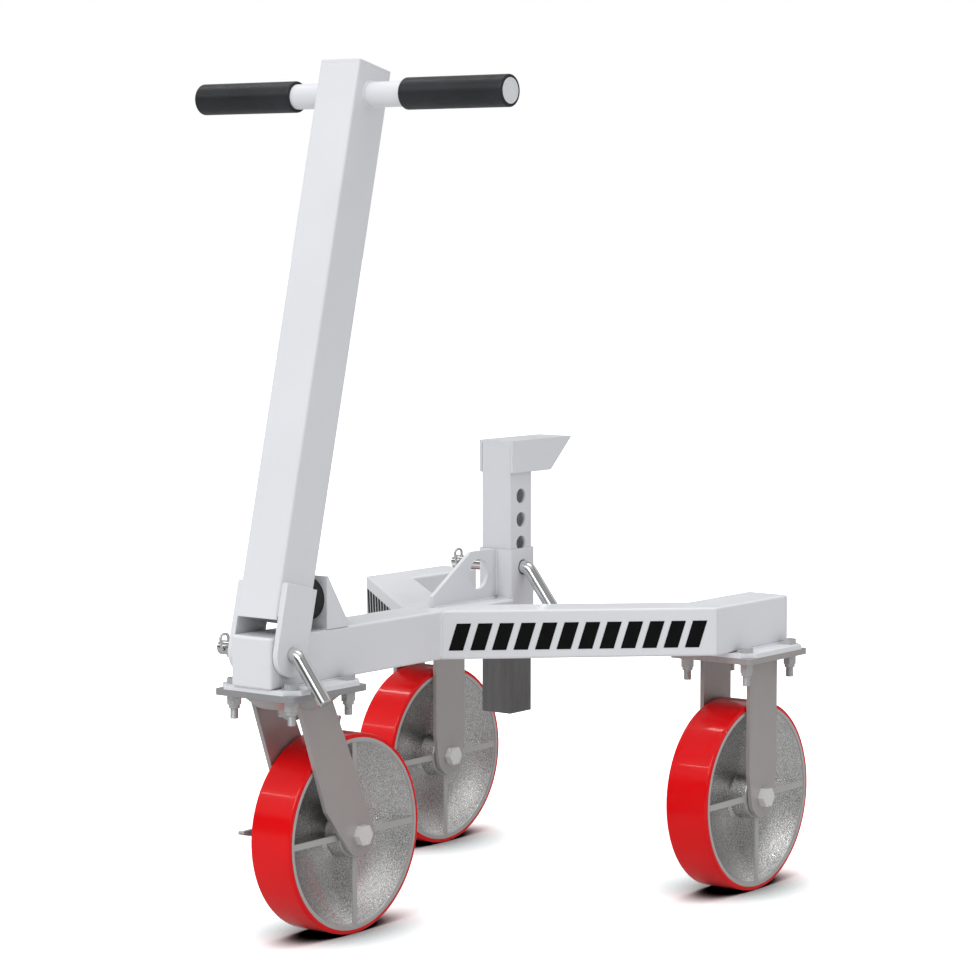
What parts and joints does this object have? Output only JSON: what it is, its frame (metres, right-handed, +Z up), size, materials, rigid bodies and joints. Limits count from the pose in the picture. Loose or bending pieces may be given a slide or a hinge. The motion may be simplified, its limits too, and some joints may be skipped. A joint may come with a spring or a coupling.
{
  "type": "trailer dolly",
  "caption": "Hand dolly for moving a trailer by its nose: Y-shaped tube frame on casters, tilting tee handle, and a pinned lift post of adjustable height with a wedge-nosed head.",
  "frame": {"origin": "on the ground, in the middle of the overall length and width", "axes": "+Z up, -Y towards the end with the swivel caster and the tee handle, X across, with the hitch pins' bent legs on the +X side"},
  "size_m": [0.5248, 0.6486, 0.8749],
  "materials": {
    "white_frame": "smooth white powder coat",
    "zinc_plate": "satin zinc plate",
    "zinc_bolts": "bright zinc plate",
    "chrome_pins": "polished",
    "red_tread": "glossy red polyurethane",
    "cast_core": "sandy cast grey paint",
    "black_rubber": "matte black",
    "black_grips": "smooth black vinyl"
  },
  "bodies": {
    "frame": {"front_arm": "white_frame", "arm_end_cap": "white_frame", "arm_pivot_sleeve": "white_frame", "left_wing": "white_frame", "right_wing": "white_frame", "left_wheel_beam": "white_frame", "right_wheel_beam": "white_frame", "beam_end_caps": "white_frame", "post_receiver": "white_frame", "gusset_plate": "white_frame", "bumper_bracket": "white_frame", "bumper_stud": "zinc_bolts", "rubber_bumper": "black_rubber", "front_mount_plate": "white_frame", "left_mount_plate": "white_frame", "right_mount_plate": "white_frame", "lift_post": "white_frame", "lift_head": "white_frame", "plate_bolts": "zinc_bolts", "plate_nuts": "zinc_bolts", "swivel_top_plate": "zinc_plate", "kingpin": "zinc_bolts", "kingpin_nut": "zinc_bolts", "rear_left_fork": "zinc_plate", "rear_right_fork": "zinc_plate", "rear_axle_bolts": "zinc_bolts", "rear_axle_nuts": "zinc_bolts", "rear_axle_spacers": "zinc_bolts", "rear_hub_washers": "zinc_bolts"},
    "front_fork": {"swivel_balls": "zinc_bolts", "swivel_crown": "zinc_plate", "front_left_leg": "zinc_plate", "front_right_leg": "zinc_plate", "front_axle_bolt": "zinc_bolts", "front_axle_nut": "zinc_bolts", "front_axle_spacer": "zinc_bolts", "front_hub_washers": "zinc_bolts"},
    "front_wheel": {"front_wheel_tread": "red_tread", "front_wheel_core": "cast_core", "front_wheel_bearing": "zinc_bolts"},
    "rear_left_wheel": {"rear_left_wheel_tread": "red_tread", "rear_left_wheel_core": "cast_core", "rear_left_wheel_bearing": "zinc_bolts"},
    "rear_right_wheel": {"rear_right_wheel_tread": "red_tread", "rear_right_wheel_core": "cast_core", "rear_right_wheel_bearing": "zinc_bolts"},
    "handle": {"handle_tube": "white_frame", "handle_top_cap": "white_frame", "handle_left_ear": "white_frame", "handle_right_ear": "white_frame", "handle_bar": "white_frame", "bar_end_plugs": "zinc_plate", "left_grip": "black_grips", "right_grip": "black_grips"},
    "lock_lever": {"lock_lever": "zinc_plate"},
    "pivot_pin": {"pivot_pin": "chrome_pins", "pivot_pin_clip": "zinc_bolts"},
    "post_pin": {"post_pin": "chrome_pins", "post_pin_clip": "zinc_bolts"}
  },
  "joints": [
    {"name": "front_swivel", "type": "hinge", "parent": "frame", "child": "front_fork", "pos_m": [0, -0.2637, 0.2573], "axis": [0, 0, 1], "continuous": true},
    {"name": "front_wheel_spin", "type": "hinge", "parent": "front_fork", "child": "front_wheel", "pos_m": [0, -0.1963, 0.1016], "axis": [1, 0, 0], "continuous": true},
    {"name": "lock_lever_turn", "type": "hinge", "parent": "front_fork", "child": "lock_lever", "pos_m": [0, -0.1963, 0.1016], "axis": [1, 0, 0], "range_deg": [0, 15]},
    {"name": "rear_left_wheel_spin", "type": "hinge", "parent": "frame", "child": "rear_left_wheel", "pos_m": [-0.2116, 0.2227, 0.1016], "axis": [1, 0, 0], "continuous": true},
    {"name": "rear_right_wheel_spin", "type": "hinge", "parent": "frame", "child": "rear_right_wheel", "pos_m": [0.2116, 0.2227, 0.1016], "axis": [1, 0, 0], "continuous": true},
    {"name": "handle_pivot", "type": "hinge", "parent": "frame", "child": "handle", "pos_m": [0, -0.299, 0.295], "axis": [1, 0, 0], "range_deg": [0, 103]},
    {"name": "pivot_pin_turn", "type": "hinge", "parent": "frame", "child": "pivot_pin", "pos_m": [0, -0.299, 0.295], "axis": [1, 0, 0], "continuous": true},
    {"name": "post_pin_turn", "type": "hinge", "parent": "frame", "child": "post_pin", "pos_m": [0, 0.0904, 0.3455], "axis": [1, 0, 0], "continuous": true}
  ]
}
